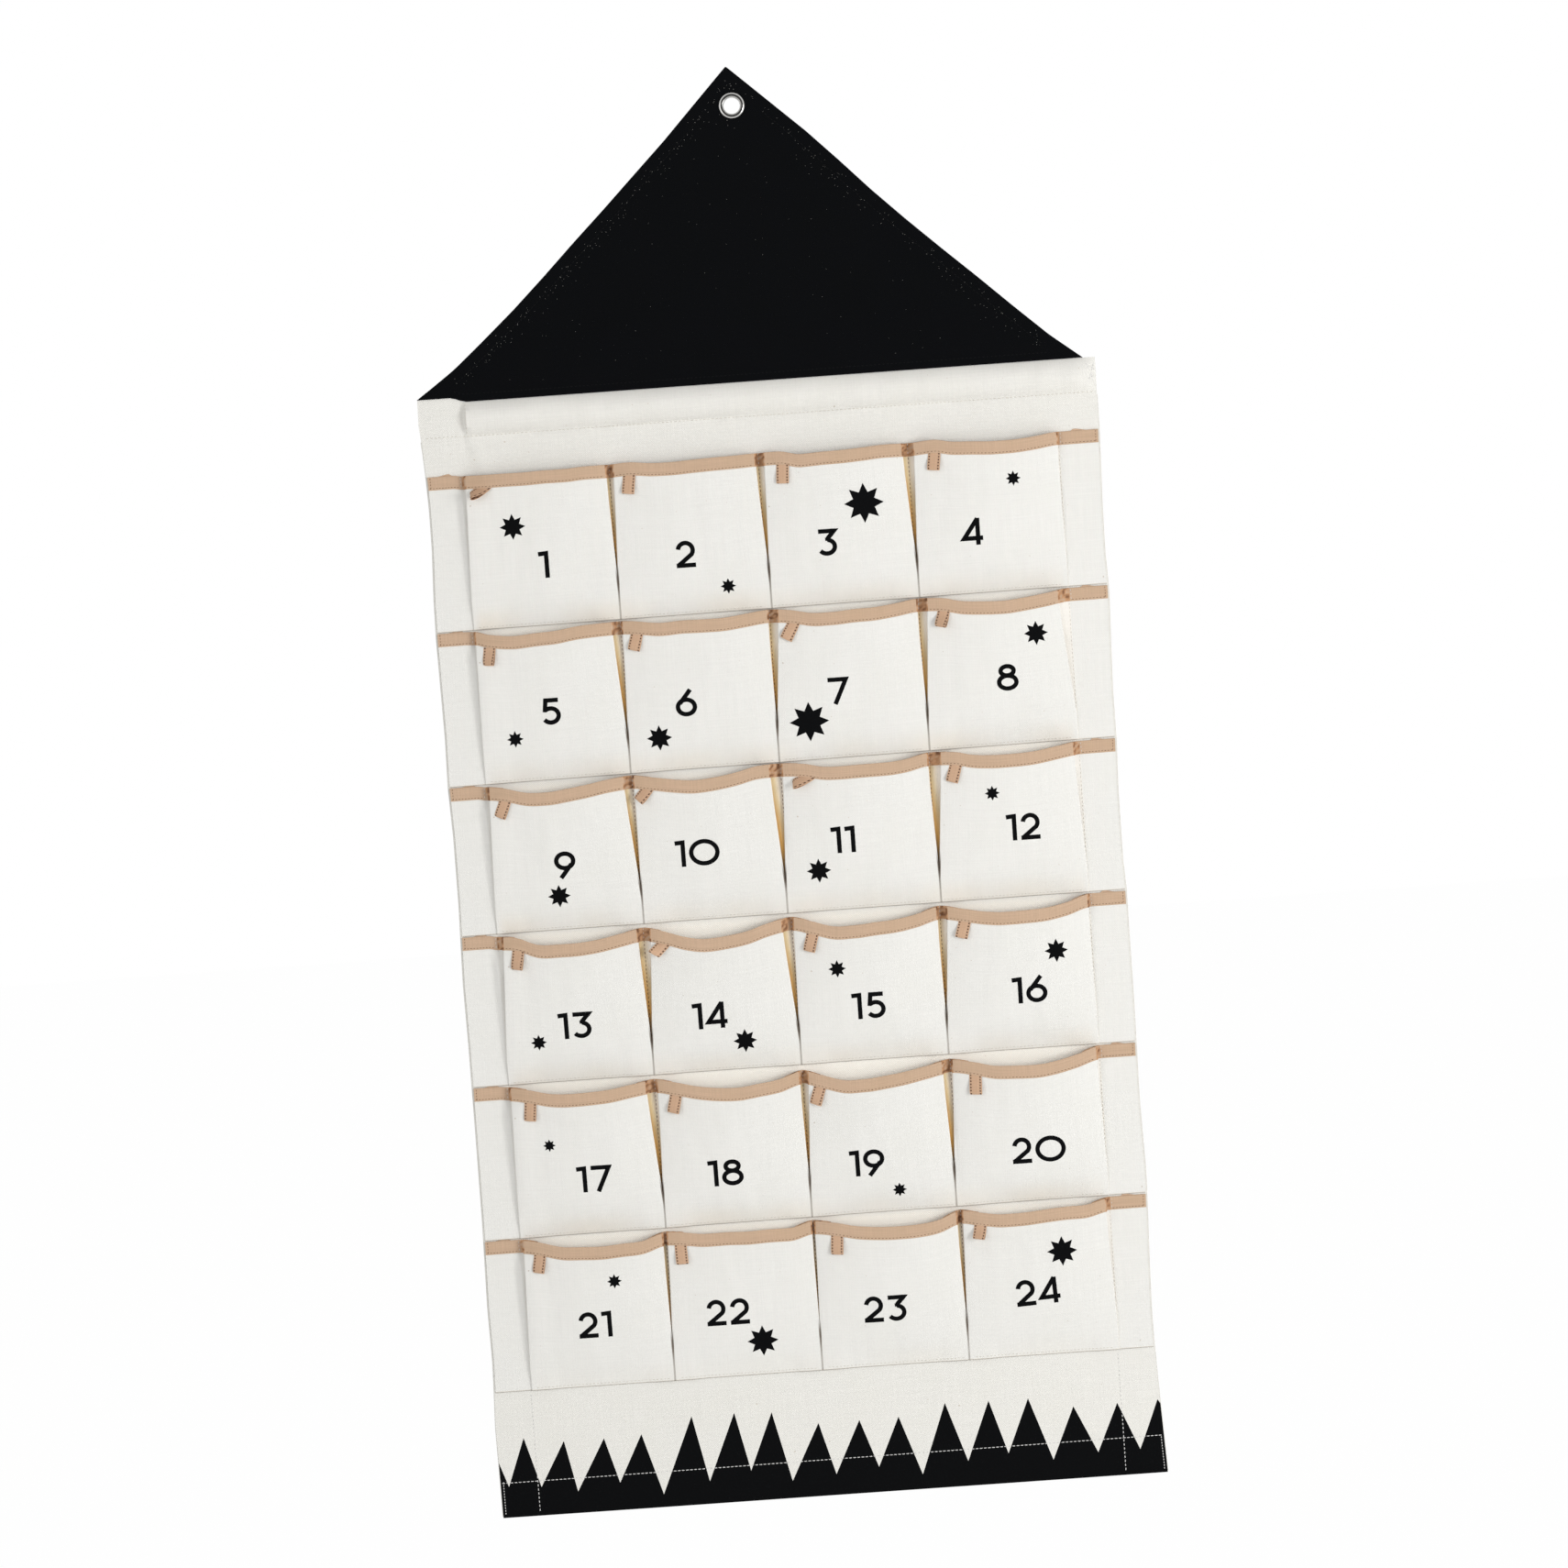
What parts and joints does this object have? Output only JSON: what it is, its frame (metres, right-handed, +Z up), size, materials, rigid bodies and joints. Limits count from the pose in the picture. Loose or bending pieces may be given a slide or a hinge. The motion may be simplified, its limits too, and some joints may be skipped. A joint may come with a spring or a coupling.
{
  "type": "pocket advent calendar",
  "caption": "Hanging cloth calendar: a peaked canvas roof with an eyelet over a tall panel with rows of pleated pockets, tape edges and ribbon pull tabs.",
  "frame": {"origin": "centre of the eyelet's hole, half way through the roof", "axes": "+Z up when hung, -Y the front that faces the viewer, +Y the wall, +X the viewer's right"},
  "size_m": [0.52, 0.0251, 1.107],
  "materials": {
    "black_canvas": "matte plain-woven black canvas",
    "cream_canvas": "matte plain-woven natural canvas",
    "pocket_cloth": "matte fine plain-woven natural cotton",
    "tan_tape": "folded cotton tape with fine ribs",
    "tan_ribbon": "soft woven ribbon with fine ribs",
    "nickel": "bright nickel plate",
    "rod_wood": "plain sanded dowel"
  },
  "bodies": {
    "roof": {"roof_front": "black_canvas", "roof_back": "black_canvas", "eyelet": "nickel", "eyelet_washer": "nickel"},
    "panel": {"back_panel": "cream_canvas", "pocket_cloth_01": "pocket_cloth", "pocket_cloth_02": "pocket_cloth", "pocket_cloth_03": "pocket_cloth", "pocket_cloth_04": "pocket_cloth", "pocket_cloth_05": "pocket_cloth", "pocket_cloth_06": "pocket_cloth", "pocket_cloth_07": "pocket_cloth", "pocket_cloth_08": "pocket_cloth", "pocket_cloth_09": "pocket_cloth", "pocket_cloth_10": "pocket_cloth", "pocket_cloth_11": "pocket_cloth", "pocket_cloth_12": "pocket_cloth", "pocket_cloth_13": "pocket_cloth", "pocket_cloth_14": "pocket_cloth", "pocket_cloth_15": "pocket_cloth", "pocket_cloth_16": "pocket_cloth", "pocket_cloth_17": "pocket_cloth", "pocket_cloth_18": "pocket_cloth", "pocket_cloth_19": "pocket_cloth", "pocket_cloth_20": "pocket_cloth", "pocket_cloth_21": "pocket_cloth", "pocket_cloth_22": "pocket_cloth", "pocket_cloth_23": "pocket_cloth", "pocket_cloth_24": "pocket_cloth", "binding_row_1": "tan_tape", "binding_row_2": "tan_tape", "binding_row_3": "tan_tape", "binding_row_4": "tan_tape", "binding_row_5": "tan_tape", "binding_row_6": "tan_tape"},
    "rod": {"hanging_rod": "rod_wood"},
    "pull_01": {"tab_01": "tan_ribbon"},
    "pull_02": {"tab_02": "tan_ribbon"},
    "pull_03": {"tab_03": "tan_ribbon"},
    "pull_04": {"tab_04": "tan_ribbon"},
    "pull_05": {"tab_05": "tan_ribbon"},
    "pull_06": {"tab_06": "tan_ribbon"},
    "pull_07": {"tab_07": "tan_ribbon"},
    "pull_08": {"tab_08": "tan_ribbon"},
    "pull_09": {"tab_09": "tan_ribbon"},
    "pull_10": {"tab_10": "tan_ribbon"},
    "pull_11": {"tab_11": "tan_ribbon"},
    "pull_12": {"tab_12": "tan_ribbon"},
    "pull_13": {"tab_13": "tan_ribbon"},
    "pull_14": {"tab_14": "tan_ribbon"},
    "pull_15": {"tab_15": "tan_ribbon"},
    "pull_16": {"tab_16": "tan_ribbon"},
    "pull_17": {"tab_17": "tan_ribbon"},
    "pull_18": {"tab_18": "tan_ribbon"},
    "pull_19": {"tab_19": "tan_ribbon"},
    "pull_20": {"tab_20": "tan_ribbon"},
    "pull_21": {"tab_21": "tan_ribbon"},
    "pull_22": {"tab_22": "tan_ribbon"},
    "pull_23": {"tab_23": "tan_ribbon"},
    "pull_24": {"tab_24": "tan_ribbon"}
  },
  "joints": [
    {"name": "panel_swing", "type": "hinge", "parent": "roof", "child": "panel", "pos_m": [0.003, 0, -0.211], "axis": [-1, 0, 0], "range_deg": [-90, 90]},
    {"name": "rod_slide", "type": "slide", "parent": "panel", "child": "rod", "axis": [1, 0, 0], "range_m": [-0.0025, 0.0025]},
    {"name": "tab_01_lift", "type": "hinge", "parent": "panel", "child": "pull_01", "pos_m": [-0.21257, -0.00986, -0.27757], "axis": [-0.9665, 0.254, 0.0365], "range_deg": [0, 120]},
    {"name": "tab_02_lift", "type": "hinge", "parent": "panel", "child": "pull_02", "pos_m": [-0.09985, -0.00913, -0.27716], "axis": [-0.9696, 0.2445, 0.0122], "range_deg": [0, 120]},
    {"name": "tab_03_lift", "type": "hinge", "parent": "panel", "child": "pull_03", "pos_m": [0.01854, -0.01053, -0.2785], "axis": [-0.9576, 0.2739, 0.0893], "range_deg": [0, 120]},
    {"name": "tab_04_lift", "type": "hinge", "parent": "panel", "child": "pull_04", "pos_m": [0.13583, -0.01122, -0.27881], "axis": [-0.9566, 0.2757, 0.094], "range_deg": [0, 120]},
    {"name": "tab_05_lift", "type": "hinge", "parent": "panel", "child": "pull_05", "pos_m": [-0.21609, -0.00936, -0.39705], "axis": [-0.951, 0.2851, 0.1198], "range_deg": [0, 120]},
    {"name": "tab_06_lift", "type": "hinge", "parent": "panel", "child": "pull_06", "pos_m": [-0.10221, -0.00887, -0.39654], "axis": [-0.9581, 0.2731, 0.0869], "range_deg": [0, 120]},
    {"name": "tab_07_lift", "type": "hinge", "parent": "panel", "child": "pull_07", "pos_m": [0.0185, -0.01082, -0.39783], "axis": [-0.9482, 0.2893, 0.1314], "range_deg": [0, 120]},
    {"name": "tab_08_lift", "type": "hinge", "parent": "panel", "child": "pull_08", "pos_m": [0.13465, -0.01117, -0.39799], "axis": [-0.9482, 0.2893, 0.1314], "range_deg": [0, 120]},
    {"name": "tab_09_lift", "type": "hinge", "parent": "panel", "child": "pull_09", "pos_m": [-0.21384, -0.01042, -0.51684], "axis": [-0.935, 0.3061, 0.179], "range_deg": [0, 120]},
    {"name": "tab_10_lift", "type": "hinge", "parent": "panel", "child": "pull_10", "pos_m": [-0.10342, -0.00883, -0.51575], "axis": [-0.9409, 0.299, 0.1588], "range_deg": [0, 120]},
    {"name": "tab_11_lift", "type": "hinge", "parent": "panel", "child": "pull_11", "pos_m": [0.01965, -0.01123, -0.51672], "axis": [-0.9464, 0.2918, 0.1383], "range_deg": [0, 120]},
    {"name": "tab_12_lift", "type": "hinge", "parent": "panel", "child": "pull_12", "pos_m": [0.13579, -0.01166, -0.51707], "axis": [-0.944, 0.295, 0.1475], "range_deg": [0, 120]},
    {"name": "tab_13_lift", "type": "hinge", "parent": "panel", "child": "pull_13", "pos_m": [-0.21269, -0.01085, -0.63581], "axis": [-0.9323, 0.3091, 0.1879], "range_deg": [0, 120]},
    {"name": "tab_14_lift", "type": "hinge", "parent": "panel", "child": "pull_14", "pos_m": [-0.10003, -0.01035, -0.63599], "axis": [-0.9175, 0.3236, 0.2312], "range_deg": [0, 120]},
    {"name": "tab_15_lift", "type": "hinge", "parent": "panel", "child": "pull_15", "pos_m": [0.01613, -0.01067, -0.63607], "axis": [-0.9221, 0.3194, 0.2184], "range_deg": [0, 120]},
    {"name": "tab_16_lift", "type": "hinge", "parent": "panel", "child": "pull_16", "pos_m": [0.13461, -0.01158, -0.63619], "axis": [-0.9337, 0.3076, 0.1835], "range_deg": [0, 120]},
    {"name": "tab_17_lift", "type": "hinge", "parent": "panel", "child": "pull_17", "pos_m": [-0.21211, -0.01098, -0.75437], "axis": [-0.935, 0.3061, 0.179], "range_deg": [0, 120]},
    {"name": "tab_18_lift", "type": "hinge", "parent": "panel", "child": "pull_18", "pos_m": [-0.09888, -0.01075, -0.75488], "axis": [-0.9175, 0.3236, 0.2312], "range_deg": [0, 120]},
    {"name": "tab_19_lift", "type": "hinge", "parent": "panel", "child": "pull_19", "pos_m": [0.01382, -0.00994, -0.7543], "axis": [-0.9175, 0.3236, 0.2312], "range_deg": [0, 120]},
    {"name": "tab_20_lift", "type": "hinge", "parent": "panel", "child": "pull_20", "pos_m": [0.13457, -0.01195, -0.7557], "axis": [-0.9183, 0.3229, 0.229], "range_deg": [0, 120]},
    {"name": "tab_21_lift", "type": "hinge", "parent": "panel", "child": "pull_21", "pos_m": [-0.21386, -0.01057, -0.87303], "axis": [-0.9273, 0.3143, 0.2033], "range_deg": [0, 120]},
    {"name": "tab_22_lift", "type": "hinge", "parent": "panel", "child": "pull_22", "pos_m": [-0.10335, -0.00851, -0.87074], "axis": [-0.9599, 0.2695, 0.0774], "range_deg": [0, 120]},
    {"name": "tab_23_lift", "type": "hinge", "parent": "panel", "child": "pull_23", "pos_m": [0.01846, -0.0112, -0.87316], "axis": [-0.9337, 0.3076, 0.1835], "range_deg": [0, 120]},
    {"name": "tab_24_lift", "type": "hinge", "parent": "panel", "child": "pull_24", "pos_m": [0.13008, -0.00958, -0.87128], "axis": [-0.9562, 0.2766, 0.0964], "range_deg": [0, 120]}
  ]
}
